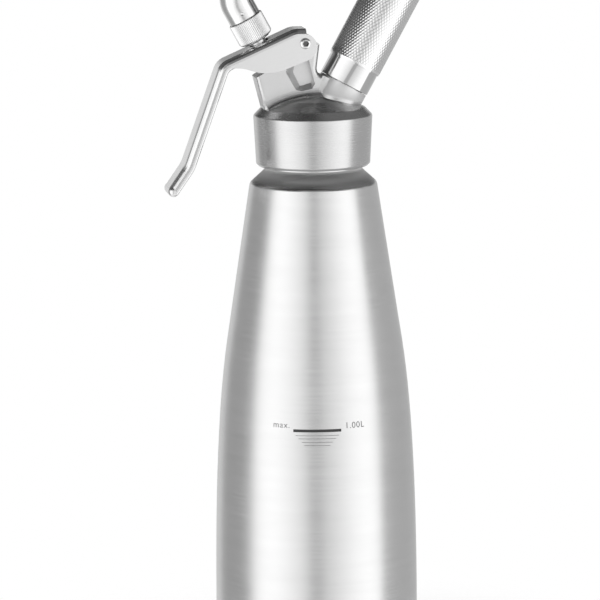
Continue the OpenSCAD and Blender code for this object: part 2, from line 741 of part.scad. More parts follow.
// The threaded nipple: a stub in the casting, a body the holder screws onto and a cup for the neck.
module charge_nipple() color("Silver") at_charge() difference() {
    bevel = 0.6;
    body_s = charge_boss_s + seat;
    union() {
        translate([0, 0, charge_boss_s - stub_l + 0.2]) cylinder(r = stub_r, h = stub_l);
        translate([0, 0, body_s]) cylinder(r = nipple_r, h = nipple_top_s - bevel - body_s);
        translate([0, 0, nipple_top_s - bevel]) cylinder(r1 = nipple_r, r2 = nipple_r - bevel, h = bevel);
    }
    translate([0, 0, cup_s]) cylinder(r = 5.2, h = 12);
    translate([0, 0, cup_s - 4.5]) cylinder(r = 2 + seat, h = 6);
    translate([0, 0, 10]) cylinder(r = 1.2, h = 40);
}

module piercing_pin() color("Silver") at_charge(cup_s - 4.4) difference() {
    union() {
        cylinder(r = 2, h = 4.4);
        cylinder(r = 1.1, h = 7.4);
        translate([0, 0, 7.4]) cylinder(r1 = 1.1, r2 = 0.5, h = 1.4);
    }
    translate([0, 0, -1]) cylinder(r = 0.4, h = 12, $fn = 24);
}

module charger_gasket() color("DimGray") at_charge(gasket_s) ring(5.1, 1.2, 1.6);

// The rubber flap that lets gas into the bottle and keeps the cream out, held by its nut.
module inlet_valve_rubber() color("DimGray") at_charge(17.2) difference() {
    union() {
        cylinder(r = 3.9, h = 1.7);
        translate([0, 0, -1.6]) cylinder(r = 1.7, h = 2);
    }
    translate([0, 0, -0.8]) cylinder(r = 0.8, h = 4);
}

module inlet_valve_nut() color("Silver") at_charge(12.6) difference() {
    cylinder(r = 3.96, h = 4.58);
    translate([0, 0, -1]) cylinder(r = 1.9, h = 7);
    translate([-5, -0.6, -1]) cube([10, 1.2, 2.2]);
}

// ---- Whole part ----------------------------------------------------------------------------

bottle();
head();
head_seal();
valve_stem();
valve_seal();
stem_o_ring();
thrust_nut();
return_spring();
lever();
lever_pin_sleeve();
lever_pin_screws();
spout_fitting();
spout_seal();
spout_tube();
spout_nut();
nozzle_tip();
charger_holder();
holder_pad();
gas_charger();
charger_seal_cap();
charge_nipple();
piercing_pin();
charger_gasket();
inlet_valve_rubber();
inlet_valve_nut();
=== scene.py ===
# Whipped cream dispenser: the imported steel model, dressed with its finishes, its knurl, its spring and
# its fill mark, and stood in a small light tent. Everything is in metres, in the model's own frame.
import math

import bmesh
import bpy
import numpy as np
from mathutils import Matrix, Vector
from mathutils.bvhtree import BVHTree


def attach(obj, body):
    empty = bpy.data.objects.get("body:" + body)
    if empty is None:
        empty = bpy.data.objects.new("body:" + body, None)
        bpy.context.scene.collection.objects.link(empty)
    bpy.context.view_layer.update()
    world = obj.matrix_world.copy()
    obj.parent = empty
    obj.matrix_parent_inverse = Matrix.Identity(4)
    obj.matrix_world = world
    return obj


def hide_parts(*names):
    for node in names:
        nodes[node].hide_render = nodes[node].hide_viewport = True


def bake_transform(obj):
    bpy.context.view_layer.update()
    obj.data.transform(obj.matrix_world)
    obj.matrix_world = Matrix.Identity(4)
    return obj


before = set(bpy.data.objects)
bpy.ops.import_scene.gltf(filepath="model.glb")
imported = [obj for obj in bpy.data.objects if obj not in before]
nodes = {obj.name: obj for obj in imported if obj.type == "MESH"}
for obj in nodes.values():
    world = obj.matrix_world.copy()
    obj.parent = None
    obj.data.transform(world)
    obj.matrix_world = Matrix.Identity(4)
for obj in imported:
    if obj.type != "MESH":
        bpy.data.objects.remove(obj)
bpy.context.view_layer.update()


# ---- Camera ---------------------------------------------------------------------------------
# A long lens a little above the shoulder and a little to the left, as the photograph was taken. It is
# rolled by half a degree, which leans the bottle to the left.

azimuth, pitch, roll = math.radians(-9.0), math.radians(9.5), math.radians(-0.5)
aim, distance = Vector((-0.00694, 0.0011, 0.195)), 1.772
toward_lens = Vector((
    math.sin(azimuth) * math.cos(pitch), -math.cos(azimuth) * math.cos(pitch), math.sin(pitch)
))
lens_right = (-toward_lens).cross(Vector((0, 0, 1))).normalized()
lens_up = lens_right.cross(-toward_lens)
right = math.cos(roll) * lens_right + math.sin(roll) * lens_up
up = math.cos(roll) * lens_up - math.sin(roll) * lens_right
camera = bpy.data.objects.new("camera", bpy.data.cameras.new("camera"))
bpy.context.scene.collection.objects.link(camera)
camera.data.lens, camera.data.sensor_width = 216, 36
camera.data.clip_start, camera.data.clip_end = 0.05, 20
camera.matrix_world = Matrix.Translation(aim + distance * toward_lens) @ Matrix(
    (right, up, toward_lens)
).transposed().to_4x4()
bpy.context.scene.camera = camera
bpy.context.scene.view_settings.view_transform = "Standard"


# ---- Floor and light tent -------------------------------------------------------------------
# A pale table that fades out a short way from the bottle, inside a round tent of glowing cloth: two
# bright walls with a narrow dim gap between them at the lens, grey cloth to the sides, low pale cloth
# behind, and a dark roof over it all. One square lamp stands to the front left, above the part.


def put(tree, kind, *given, named=None, **settings):
    """Adds one shader node. given are its inputs in order, as sockets to link, plain values or None to
    leave one alone; named are further inputs by name, and settings are the node's own properties."""
    node = tree.nodes.new("ShaderNode" + kind)
    for key, value in settings.items():
        setattr(node, key, value)
    by_name = ((node.inputs[key], value) for key, value in (named or {}).items())
    for socket, value in [*zip(node.inputs, given), *by_name]:
        if isinstance(value, bpy.types.NodeSocket):
            tree.links.new(value, socket)
        elif value is not None:
            socket.default_value = value
    return node


def new_mesh(name, points, faces):
    """A smooth-shaded mesh object at the origin, from an array of points and a list of faces."""
    mesh = bpy.data.meshes.new(name)
    corners = [list(map(int, face)) for face in faces]
    mesh.from_pydata(np.asarray(points, float).reshape(-1, 3).tolist(), [], corners)
    mesh.polygons.foreach_set("use_smooth", np.full(len(mesh.polygons), True))
    mesh.update()
    thing = bpy.data.objects.new(name, mesh)
    bpy.context.scene.collection.objects.link(thing)
    return thing


def grid_faces(rows, columns, close_rows=False, close_columns=False):
    """Quads over a grid of rows x columns points, joined end to start either way if asked."""
    i = np.arange(rows if close_rows else rows - 1)[:, None]
    j = np.arange(columns if close_columns else columns - 1)[None, :]
    k, m = (i + 1) % rows, (j + 1) % columns
    corners = [i * columns + j, i * columns + m, k * columns + m, k * columns + j]
    return np.stack(corners, -1).reshape(-1, 4)


def bare_material(name):
    """An empty material and its node tree."""
    material = bpy.data.materials.new(name)
    material.use_nodes = True
    material.node_tree.nodes.clear()
    return material, material.node_tree


def background_ray(tree):
    """1 for the rays that show the background: the camera's, and those that metal or glass sends on."""
    path = put(tree, "LightPath").outputs
    seen = put(tree, "Math", path["Is Camera Ray"], path["Is Glossy Ray"], operation="MAXIMUM")
    seen = put(tree, "Math", seen.outputs[0], path["Is Transmission Ray"], operation="MAXIMUM")
    return seen.outputs[0]


room_light, background = 0.6, 1.0
world = bpy.data.worlds.new("white_room")
world.use_nodes = True
bpy.context.scene.world = world
tree = world.node_tree
tree.nodes.clear()
level = put(tree, "MapRange", background_ray(tree), 0, 1, room_light, background)
sky = put(tree, "Background", (1, 1, 1, 1), level.outputs[0])
put(tree, "OutputWorld", sky.outputs[0])

# The table's glow lifts it to the white of the room, and its grey cloth takes the part's shadow. It is
# gone by fade_end, short of its own edge.
table_grey, table_glow, fade_start, fade_end = 0.34, 0.78, 0.09, 0.23
material, tree = bare_material("pale_table")
place = put(tree, "TexCoord").outputs["Object"]
spread = put(tree, "VectorMath", place, operation="LENGTH").outputs["Value"]
fade = put(tree, "MapRange", spread, fade_start, fade_end, 1, 0, interpolation_type="SMOOTHSTEP")
cloth = put(tree, "BsdfDiffuse", (table_grey, table_grey, table_grey, 1))
glow = put(tree, "Math", background_ray(tree), table_glow, operation="MULTIPLY")
glow = put(tree, "Emission", (1, 1, 1, 1), glow.outputs[0])
lit = put(tree, "AddShader", cloth.outputs[0], glow.outputs[0])
gone = put(tree, "BsdfTransparent")
top = put(tree, "MixShader", fade.outputs[0], gone.outputs[0], lit.outputs[0])
put(tree, "OutputMaterial", top.outputs[0])
# A flat disc: rings at the distances in reach, each of as many points as there are spokes.
spokes, reach = 72, np.array([0.0005, 0.08, 0.16, 0.24])
turn = np.linspace(0, 2 * np.pi, spokes + 1)[:-1]
x, y = np.outer(reach, np.cos(turn)), np.outer(reach, np.sin(turn))
table_top = np.stack([x, y, 0 * x], -1)
floor = new_mesh("table_top", table_top, grid_faces(len(reach), spokes, close_columns=True)[:, ::-1])
floor.data.materials.append(material)

tent_cloth, tree = bare_material("tent_cloth")
level = put(tree, "Attribute", attribute_name="level")
put(tree, "OutputMaterial", put(tree, "Emission", (1, 1, 1, 1), level.outputs["Fac"]).outputs[0])
# How brightly the walls and the roof glow, by bearing in degrees to the right of the lens.
bearing = np.linspace(-180, 180, 241)
walls = np.interp(
    bearing,
    [-180, -142, -132, -120, -90, -81, -73, -62, -48, -30, -16, -9, -6,
     5, 9, 26, 42, 60, 77, 82, 120, 152, 165, 180],
    [0.75, 0.86, 0.48, 0.43, 0.42, 0.62, 1.40, 1.56, 1.56, 1.36, 1.12, 0.98, 0.56,
     0.56, 0.88, 1.12, 1.40, 1.58, 1.56, 0.56, 0.54, 0.58, 0.75, 0.75],
)
roof = np.interp(
    bearing,
    [-180, -150, -100, -45, -20, 20, 60, 130, 180],
    [0.06, 0.08, 0.14, 0.045, 0.035, 0.045, 0.20, 0.20, 0.06],
)
# The cloth's rows as (radius, height, share of the wall's light where it fades toward the lens).
rows = np.array([
    (1.5, -1.4, 1), (1.5, 0.56, 1), (1.5, 0.62, 1), (1.5, 0.88, 1), (1.5, 1.0, 0.75), (1.5, 1.15, 0.5),
    (1.35, 1.4, 0.3), (1.1, 1.55, 0.17), (0.8, 1.66, 0.09), (0.4, 1.72, 0.05), (0.01, 1.75, 0.05),
])
reach, height, share = (rows[:, i, None] for i in range(3))
# Within 20 degrees of the lens the walls fade upward into the roof; past 34 they end in a plain edge.
toward = np.interp(np.abs(bearing), [20, 34], [1, 0])
overhead = roof * (1 - toward) + walls * toward * share
level = np.where(share == 1, walls, overhead)
# Behind the part the third and fourth rows are as dark as the roof, so the bright cloth is low there
# and the edges of leaning pieces mirror the dark above it.
behind = np.interp(np.abs(bearing), [116, 124], [0, 1])
level[2:4] = walls * (1 - behind) + roof * behind
# One surface: a point for each bearing and row, as far out as the row's radius and as high as the row.
a = np.radians(bearing)
ahead, side = (Vector((v.x, v.y, 0)).normalized() for v in (toward_lens, lens_right))
flat = np.outer(np.cos(a), ahead) + np.outer(np.sin(a), side)
points = flat[None] * reach[..., None] + np.array([0, 0, 1]) * height[..., None]
wall = new_mesh("tent_cloth", points, grid_faces(len(rows), len(a)))
glow = wall.data.attributes.new("level", "FLOAT", "POINT")
glow.data.foreach_set("value", level.astype(np.float32).ravel())
wall.data.materials.append(tent_cloth)
wall.visible_camera = wall.visible_shadow = False

key = bpy.data.objects.new("key_light", bpy.data.lights.new("key_light", "AREA"))
bpy.context.scene.collection.objects.link(key)
key.data.shape, key.data.size, key.data.size_y, key.data.energy = "RECTANGLE", 0.7, 0.7, 9
key.location = (-0.55, -0.8, 0.95)
lit_point = Vector((0, 0, 0.2))
key.rotation_euler = (lit_point - key.location).to_track_quat("-Z", "Y").to_euler()
key.visible_glossy = False


# ---- Bottle ---------------------------------------------------------------------------------
# One drawn and spun stainless steel shell, satin brushed round and round on a lathe, with a rolled
# thread on its neck. The brush leaves fine rings and faint bands in tone.


def new_group(name, inputs, outputs):
    """A shader node group with named sockets. inputs and outputs are (name, kind, default) in order."""
    group = bpy.data.node_groups.new(name, "ShaderNodeTree")
    for rows, side in ((inputs, "INPUT"), (outputs, "OUTPUT")):
        for label, kind, default in rows:
            socket = group.interface.new_socket(label, in_out=side, socket_type="NodeSocket" + kind)
            if default is not None and side == "INPUT":
                socket.default_value = default
    return group, group.nodes.new("NodeGroupInput").outputs, group.nodes.new("NodeGroupOutput").inputs


def use_group(tree, group, **given):
    """Places a group in a tree, its inputs given by name with _ for a space."""
    node = tree.nodes.new("ShaderNodeGroup")
    node.node_tree = group
    for key, value in given.items():
        socket = node.inputs[key.replace("_", " ")]
        if isinstance(value, bpy.types.NodeSocket):
            tree.links.new(value, socket)
        else:
            socket.default_value = value
    return node.outputs


def between(tree, node, *limits):
    """A node's first output, carried from the range of the first two limits to that of the last two."""
    return put(tree, "MapRange", node.outputs[0], *limits).outputs[0]


def product(tree, *factors):
    """All the factors multiplied, each a socket or a value."""
    so_far = factors[0]
    for factor in factors[1:]:
        so_far = put(tree, "Math", so_far, factor, operation="MULTIPLY").outputs[0]
    return so_far


def raised(tree, height, strength, depth, under=None):
    """A normal that shows height as relief of this depth, over another normal if one is given."""
    return put(tree, "Bump", strength, depth, None, height, under).outputs[0]


# Lathe lines: noise that is long round the axis (Z of Vector) and short along it or outward. They, and
# the other fine grains further down, are fine_depth deep.
fine_depth = 0.00001
turned, given, out = new_group(
    "turned_finish",
    [("Vector", "Vector", None), ("Tone", "Float", 0.66), ("Line width", "Float", 0.00022),
     ("Roughness", "Float", 0.24), ("Bump", "Float", 0.25)],
    [("Color", "Color", None), ("Roughness", "Float", None), ("Normal", "Vector", None)],
)
round_scale, band_scale = (1.6, 1.6, 0), (0.7, 0.7, 0.035)
parts = put(turned, "SeparateXYZ", given["Vector"]).outputs
level_xy = put(turned, "CombineXYZ", parts[0], parts[1], 0).outputs[0]
radius = put(turned, "VectorMath", level_xy, operation="LENGTH").outputs["Value"]
facing = put(turned, "VectorMath", level_xy, operation="NORMALIZE").outputs[0]
facing = put(turned, "VectorMath", facing, round_scale, operation="MULTIPLY").outputs[0]
across = put(turned, "Math", parts[2], radius, operation="ADD").outputs[0]
across = put(turned, "Math", across, given["Line width"], operation="DIVIDE").outputs[0]
across = put(turned, "CombineXYZ", 0, 0, across).outputs[0]
stretched = put(turned, "VectorMath", facing, across, operation="ADD").outputs[0]
lines = put(turned, "TexNoise", stretched, named={"Scale": 1.0, "Detail": 3.0, "Roughness": 0.6})
wide = put(turned, "VectorMath", stretched, band_scale, operation="MULTIPLY")
bands = put(turned, "TexNoise", wide.outputs[0], named={"Scale": 1.0, "Detail": 2.0})
mottle = put(turned, "TexNoise", given["Vector"], named={"Scale": 38.0, "Detail": 3.0})
shade = product(
    turned,
    between(turned, lines, 0.25, 0.75, 0.965, 1.03), between(turned, bands, 0.3, 0.7, 0.985, 1.015),
    given["Tone"],
)
turned.links.new(put(turned, "CombineColor", shade, shade, shade).outputs[0], out["Color"])
rough = product(
    turned,
    between(turned, lines, 0.25, 0.75, 0.85, 1.15), between(turned, mottle, 0.3, 0.7, 0.93, 1.07),
    given["Roughness"],
)
turned.links.new(rough, out["Roughness"])
turned.links.new(raised(turned, lines.outputs[0], given["Bump"], fine_depth), out["Normal"])

# A rolled thread: a rounded ridge that climbs one pitch each turn round the axis, between two heights.
thread, given, out = new_group(
    "screw_thread",
    [("Vector", "Vector", None), ("Pitch", "Float", 0.003), ("From", "Float", 0.0),
     ("To", "Float", 1.0)],
    [("Height", "Float", None)],
)
parts = put(thread, "SeparateXYZ", given["Vector"]).outputs
around = put(thread, "Math", parts[1], parts[0], operation="ARCTAN2")
turns = put(thread, "Math", around.outputs[0], 2 * math.pi, operation="DIVIDE")
climb = put(thread, "Math", parts[2], given["Pitch"], operation="DIVIDE")
phase = put(thread, "Math", climb.outputs[0], turns.outputs[0], operation="SUBTRACT")
phase = put(thread, "Math", product(thread, phase.outputs[0], 2 * math.pi), operation="COSINE")
ridge = put(thread, "MapRange", phase.outputs[0], -0.5, 0.7, 0, 1, interpolation_type="SMOOTHSTEP")
above = put(thread, "Math", parts[2], given["From"], operation="GREATER_THAN")
below = put(thread, "Math", parts[2], given["To"], operation="LESS_THAN")
within = product(thread, above.outputs[0], below.outputs[0])
thread.links.new(product(thread, ridge.outputs[0], within), out["Height"])


def steel_surface(tree, color, roughness, normal, anisotropic=0.0):
    """Bare metal on the material's output."""
    steel = put(tree, "BsdfPrincipled", named={
        "Base Color": color, "Roughness": roughness, "Normal": normal, "Metallic": 1.0,
        "Anisotropic": anisotropic,
    })
    put(tree, "OutputMaterial", steel.outputs[0])


def finish_node(name, material):
    """Gives a CAD node its one material."""
    nodes[name].data.materials.clear()
    nodes[name].data.materials.append(material)


thread_low, thread_high, thread_pitch, thread_depth = 0.266, 0.2785, 0.003, 0.0008
shoulder_low, shoulder_high, neck_foot, shoulder_dull = 0.2540, 0.2600, 0.2612, 3.2
material, tree = bare_material("satin_bottle_steel")
place = put(tree, "TexCoord").outputs["Object"]
satin = use_group(tree, turned, Vector=place, Tone=0.66, Line_width=0.00024, Roughness=0.22, Bump=0.25)
neck = use_group(tree, thread, Vector=place, Pitch=thread_pitch, From=thread_low, To=thread_high)
normal = raised(tree, neck["Height"], strength=0.9, depth=thread_depth, under=satin["Normal"])
# The sloping shoulder grows dull from its corner up to the neck, which is bright again.
height = put(tree, "SeparateXYZ", place).outputs[2]
under_neck = put(tree, "Math", height, neck_foot, operation="LESS_THAN")
extra = put(tree, "MapRange", height, shoulder_low, shoulder_high, 0, shoulder_dull)
dull = put(tree, "Math", extra.outputs[0], under_neck.outputs[0], 1.0, operation="MULTIPLY_ADD")
rough = product(tree, satin["Roughness"], dull.outputs[0])
steel_surface(tree, satin["Color"], rough, normal, anisotropic=0.75)
finish_node("bottle", material)


# ---- Fill mark ------------------------------------------------------------------------------
# Grey ink printed on the front of the bottle: the line to fill to, four shorter lines under it, and the
# words that say what it is. It lies on the steel, a hair proud of it.

mark_bearing, mark_radius, ink_height, well_outside = math.radians(-98.05), 0.0475, 0.00004, 0.08
shell = nodes["bottle"].data
skin = BVHTree.FromPolygons(
    [v.co.copy() for v in shell.vertices], [list(p.vertices) for p in shell.polygons]
)


def onto_bottle(points):
    """Flat points (x along the print, z up) wrapped round the bottle: x becomes an arc about the axis,
    and a ray sent straight in from outside finds the steel."""
    x, z = np.array(points).T
    a = mark_bearing + x / mark_radius
    outward = np.stack([np.cos(a), np.sin(a), 0 * a], -1)
    outside = well_outside * outward + np.stack([0 * z, 0 * z, z], -1)
    steel = [skin.ray_cast(start, inward)[0] for start, inward in zip(outside, -outward)]
    return np.array(steel) + ink_height * outward


# Each printed line as (low, high, half its length), then each word as (text, middle, foot).
along_line = 25
ink_points, ink_faces = [], []
for low, high, half in (
    (0.13812, 0.13948, 0.0118), (0.13632, 0.13656, 0.0106), (0.13482, 0.13506, 0.0092),
    (0.13310, 0.13334, 0.0076), (0.13154, 0.13178, 0.0063),
):
    ink_faces.extend((grid_faces(2, along_line) + len(ink_points)).tolist())
    x = np.linspace(-half, half, along_line)
    ink_points.extend(np.stack([np.tile(x, 2), np.repeat([low, high], along_line)], -1).tolist())
letter_size, letter_spacing = 0.0042, 1.12
for words, middle, foot in (("max.", -0.0179, 0.1400), ("1.00L", 0.0189, 0.1395)):
    letters = bpy.data.objects.new(words, bpy.data.curves.new(words, "FONT"))
    letters.data.body, letters.data.size, letters.data.align_x = words, letter_size, "CENTER"
    letters.data.space_character = letter_spacing
    bpy.context.scene.collection.objects.link(letters)
    bpy.context.view_layer.update()
    flat = bpy.data.meshes.new_from_object(letters.evaluated_get(bpy.context.evaluated_depsgraph_get()))
    cut_up = bmesh.new()
    cut_up.from_mesh(flat)
    bmesh.ops.remove_doubles(cut_up, verts=cut_up.verts, dist=1e-6)
    bmesh.ops.triangulate(cut_up, faces=cut_up.faces)
    cut_up.verts.index_update()
    ink_faces.extend([[v.index + len(ink_points) for v in f.verts] for f in cut_up.faces])
    ink_points.extend([(v.co.x + middle, v.co.y + foot) for v in cut_up.verts])
    cut_up.free()
    bpy.data.objects.remove(letters)
fill_mark = new_mesh("fill_mark", onto_bottle(ink_points), ink_faces)
material, tree = bare_material("printed_ink")
place = put(tree, "TexCoord").outputs["Object"]
grain = put(tree, "TexNoise", place, named={"Scale": 2500.0, "Detail": 2.0})
# The line to fill to is printed darker than the rest.
line_middle, line_half, soft_edge = 0.1388, 0.0007, 0.0001
height = put(tree, "SeparateXYZ", place).outputs[2]
off_line = put(tree, "Math", height, line_middle, operation="SUBTRACT")
off_line = put(tree, "Math", off_line.outputs[0], operation="ABSOLUTE")
bold = between(tree, off_line, line_half, line_half + soft_edge, 0.15, 1.0)
shade = product(tree, between(tree, grain, 0.3, 0.7, 0.12, 0.18), bold)
tone = put(tree, "CombineColor", shade, shade, shade)
ink = put(tree, "BsdfPrincipled", named={"Base Color": tone.outputs[0], "Roughness": 0.5})
put(tree, "OutputMaterial", ink.outputs[0])
fill_mark.data.materials.append(material)
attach(fill_mark, "bottle")


# ---- Head casting ---------------------------------------------------------------------------
# Cast stainless steel with a turned ring and dome: the ring is brushed on the lathe, and the bosses and
# the web above are bead blasted to a fine, even satin.

cast, given, out = new_group(
    "blasted_finish",
    [("Vector", "Vector", None), ("Tone", "Float", 0.7), ("Grain", "Float", 5200.0),
     ("Roughness", "Float", 0.33), ("Bump", "Float", 0.3)],
    [("Color", "Color", None), ("Roughness", "Float", None), ("Normal", "Vector", None)],
)
pits = put(cast, "TexNoise", given["Vector"], named={"Scale": given["Grain"], "Detail": 2.0})
cloud = put(cast, "TexNoise", given["Vector"], named={"Scale": 90.0, "Detail": 3.0})
shade = product(
    cast,
    between(cast, pits, 0.3, 0.7, 0.96, 1.04), between(cast, cloud, 0.3, 0.7, 0.98, 1.02),
    given["Tone"],
)
cast.links.new(put(cast, "CombineColor", shade, shade, shade).outputs[0], out["Color"])
rough = product(cast, between(cast, cloud, 0.3, 0.7, 0.9, 1.1), given["Roughness"])
cast.links.new(rough, out["Roughness"])
cast.links.new(raised(cast, pits.outputs[0], given["Bump"], fine_depth), out["Normal"])


def mixed(tree, kind, share, first, second):
    """first where share is 0, second where it is 1. A Mix node has its own sockets for each kind."""
    into, from_out = {"FLOAT": (2, 0), "VECTOR": (4, 1), "RGBA": (6, 2)}[kind]
    node = put(tree, "Mix", share, data_type=kind)
    tree.links.new(first, node.inputs[into])
    tree.links.new(second, node.inputs[into + 1])
    return node.outputs[from_out]


material, tree = bare_material("head_cast_and_turned")
place = put(tree, "TexCoord").outputs["Object"]
ring = use_group(tree, turned, Vector=place, Tone=0.59, Line_width=0.0002, Roughness=0.26, Bump=0.12)
body = use_group(tree, cast, Vector=place, Tone=0.65, Roughness=0.35, Bump=0.15)
# The turned dome is part of a ball, so how far a point stands from the ball tells it from the casting.
ball_middle, ball_radius, turned_to, cast_from = (0, 0, 0.25238), 0.0460, 0.0001, 0.0012
out_from_middle = put(tree, "VectorMath", place, ball_middle, operation="DISTANCE").outputs["Value"]
above_dome = put(tree, "Math", out_from_middle, ball_radius, operation="SUBTRACT")
is_turned = between(tree, above_dome, turned_to, cast_from, 1, 0)
# The corner where the casting meets the dome is out of the polishing tool's reach and stays dull.
corner_from, corner_to, corner_dull = 0.0015, 0.007, 1.8
corner = between(tree, above_dome, corner_from, corner_to, corner_dull, 1.0)
dull = product(tree, body["Roughness"], corner)
steel_surface(
    tree,
    mixed(tree, "RGBA", is_turned, body["Color"], ring["Color"]),
    mixed(tree, "FLOAT", is_turned, dull, ring["Roughness"]),
    mixed(tree, "VECTOR", is_turned, body["Normal"], ring["Normal"]),
    anisotropic=0.35,
)
finish_node("head", material)


# ---- Silicone seal and rubber seals ---------------------------------------------------------
# The wide white silicone washer in the head, and the black rubber rings, washers and flap of the
# valves, all moulded, with a dull skin.

rubbery, given, out = new_group(
    "moulded_rubber",
    [("Vector", "Vector", None), ("Tone", "Float", 0.03), ("Roughness", "Float", 0.6)],
    [("Color", "Color", None), ("Roughness", "Float", None), ("Normal", "Vector", None)],
)
bloom = put(rubbery, "TexNoise", given["Vector"], named={"Scale": 260.0, "Detail": 4.0})
skin_grain = put(rubbery, "TexNoise", given["Vector"], named={"Scale": 4200.0, "Detail": 2.0})
shade = product(rubbery, between(rubbery, bloom, 0.3, 0.7, 0.85, 1.2), given["Tone"])
rubbery.links.new(put(rubbery, "CombineColor", shade, shade, shade).outputs[0], out["Color"])
rough = product(rubbery, between(rubbery, bloom, 0.3, 0.7, 0.88, 1.1), given["Roughness"])
rubbery.links.new(rough, out["Roughness"])
skin_normal = raised(rubbery, skin_grain.outputs[0], strength=0.25, depth=fine_depth)
rubbery.links.new(skin_normal, out["Normal"])


def rubber_material(name, tone, roughness):
    """A moulded rubber or silicone of one tone."""
    material, tree = bare_material(name)
    place = put(tree, "TexCoord").outputs["Object"]
    look = use_group(tree, rubbery, Vector=place, Tone=tone, Roughness=roughness)
    skin = put(tree, "BsdfPrincipled", named={
        "Base Color": look["Color"], "Roughness": look["Roughness"], "Normal": look["Normal"],
    })
    put(tree, "OutputMaterial", skin.outputs[0])
    return material


finish_node("head_seal", rubber_material("white_silicone", 0.78, 0.42))
black_rubber = rubber_material("black_rubber", 0.025, 0.6)
for name in (
    "valve_seal", "stem_o_ring", "spout_seal", "holder_pad", "charger_gasket", "inlet_valve_rubber",
):
    finish_node(name, black_rubber)


# ---- Valve parts ----------------------------------------------------------------------------
# Small stainless steel parts turned on a lathe about the leaning valve's axis: the hollow stem, its
# thrust nut, and the threaded fitting on its top.

# The valve's axis and the charger's lean to either side from the point where they meet.
meet = Vector((0, 0, 0.2738))
valve_lean, charge_lean = math.radians(28.5), math.radians(-29.0)


def on_axis(tree, lean):
    """Object coordinates turned so that Z runs along a leaning axis, from where the axes meet."""
    place = put(tree, "TexCoord").outputs["Object"]
    shift = Matrix.Rotation(lean, 3, "Y") @ meet
    mapping = put(tree, "Mapping", place, (-shift.x, 0, -shift.z), (0, lean, 0))
    return mapping.outputs[0]


small_thread_depth = 0.0004


def lathe_material(name, lean, tone=0.66, roughness=0.2, bump=0.2, pitch=0.0, low=0.0, high=0.0):
    """Turned steel about a leaning axis, with a thread from low to high along it where pitch is set."""
    material, tree = bare_material(name)
    along = on_axis(tree, lean)
    look = use_group(
        tree, turned, Vector=along, Tone=tone, Line_width=0.00018, Roughness=roughness, Bump=bump
    )
    normal = look["Normal"]
    if pitch:
        helix = use_group(tree, thread, Vector=along, Pitch=pitch, From=low, To=high)
        normal = raised(tree, helix["Height"], strength=0.8, depth=small_thread_depth, under=normal)
    steel_surface(tree, look["Color"], look["Roughness"], normal)
    return material


stem_steel = lathe_material("turned_stem_steel", valve_lean)
finish_node("valve_stem", stem_steel)
finish_node("thrust_nut", stem_steel)
finish_node("spout_fitting", lathe_material(
    "threaded_fitting_steel", valve_lean, pitch=0.001, low=0.0575, high=0.0640
))


# ---- Return spring --------------------------------------------------------------------------
# Hard drawn steel wire, coiled with its end turns closed and flat. It stands between the boss's pocket
# and the thrust nut.

# Half the wire's width, the coil's radius, its free turns and its closed turns at each end, and where
# it starts and ends along the valve's axis, a hair clear of what it stands between.
wire, coil, active, closed, hair = 0.0005, 0.0052, 6, 1, 0.00002
low, high = 0.0310 + hair, 0.0470 - hair
# The wire's middle runs round the axis, a turn for each whole t. It climbs by the wire's own width in
# each closed turn and evenly between them, and a ring of points is set square to it all the way.
per_turn, sides = 48, 14
t = np.linspace(0, active + 2 * closed, per_turn * (active + 2 * closed) + 1)
rise = np.clip((t - closed) / active, 0, 1)
dead = np.where(t < closed, t - closed, np.where(t > active + closed, t - active - closed, 0))
along = low + 3 * wire + 2 * wire * dead + rise * (high - low - 6 * wire)
angle = 2 * np.pi * t
centre = np.stack([coil * np.cos(angle), coil * np.sin(angle), along], -1)
run = np.gradient(centre, axis=0)
run /= np.linalg.norm(run, axis=1, keepdims=True)
outward = np.stack([np.cos(angle), np.sin(angle), 0 * angle], -1)
upward = np.cross(outward, run)
q = np.linspace(0, 2 * np.pi, sides + 1)[:-1, None]
tube = centre[:, None] + wire * (np.cos(q) * outward[:, None] + np.sin(q) * upward[:, None])
onto_valve = Matrix.Rotation(-valve_lean, 3, "Y")
tube = tube.reshape(-1, 3) @ np.array(onto_valve).T + np.array(meet)
count = len(t) * sides
caps = [list(range(sides))[::-1], list(range(count - sides, count))]
skin_faces = grid_faces(len(t), sides, close_columns=True).tolist()
spring = new_mesh("return_spring_wire", tube, [*skin_faces, *caps])
shell = bmesh.new()
shell.from_mesh(spring.data)
bmesh.ops.recalc_face_normals(shell, faces=shell.faces)
shell.to_mesh(spring.data)
shell.free()
material, tree = bare_material("drawn_spring_wire")
along = on_axis(tree, valve_lean)
look = use_group(tree, cast, Vector=along, Tone=0.52, Roughness=0.24, Bump=0.15)
steel_surface(tree, look["Color"], look["Roughness"], look["Normal"])
spring.data.materials.append(material)
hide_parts("return_spring")
foot, head_end = (meet + onto_valve @ Vector((0, 0, height)) for height in (low, high))
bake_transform(spring)


# ---- Lever ----------------------------------------------------------------------------------
# Folded and pressed stainless sheet, polished and then lightly brushed along its length: a channel with
# two deep sides round the head. Round-headed screws hold it to the pin's sleeve.

brushed, given, out = new_group(
    "long_brush",
    [("Vector", "Vector", None), ("Tone", "Float", 0.74), ("Roughness", "Float", 0.2),
     ("Bump", "Float", 0.2)],
    [("Color", "Color", None), ("Roughness", "Float", None), ("Normal", "Vector", None)],
)
